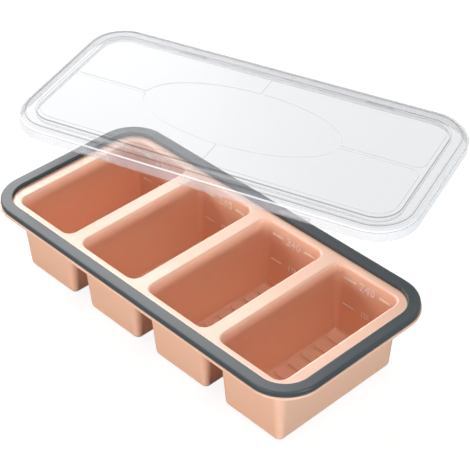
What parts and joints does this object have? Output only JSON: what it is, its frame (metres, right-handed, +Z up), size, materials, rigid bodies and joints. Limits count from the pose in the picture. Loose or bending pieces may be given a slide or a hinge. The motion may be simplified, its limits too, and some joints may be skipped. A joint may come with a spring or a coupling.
{
  "type": "baby food freezer tray",
  "caption": "Long soft freezer tray with deep tapered cups side by side in a stiff grey rim, and a clear stepped lid shown lifted off above it.",
  "frame": {"origin": "on the table under the middle of the tray, halfway between the two middle cups", "axes": "+X along the row of cups, +Y across it towards the side over which the lid is held, +Z up"},
  "size_m": [0.3535, 0.2621, 0.1058],
  "materials": {
    "silicone": "matte",
    "rim": "satin",
    "steel": "brushed",
    "clear": "clear"
  },
  "bodies": {
    "tray": {"tray_body": "silicone", "rim_frame": "rim", "steel_core": "steel"},
    "lid": {"lid": "clear"}
  },
  "joints": [
    {"name": "lid_lift", "type": "slide", "parent": "tray", "child": "lid", "axis": [0, 0, 1], "range_m": [0, 0.06]}
  ]
}
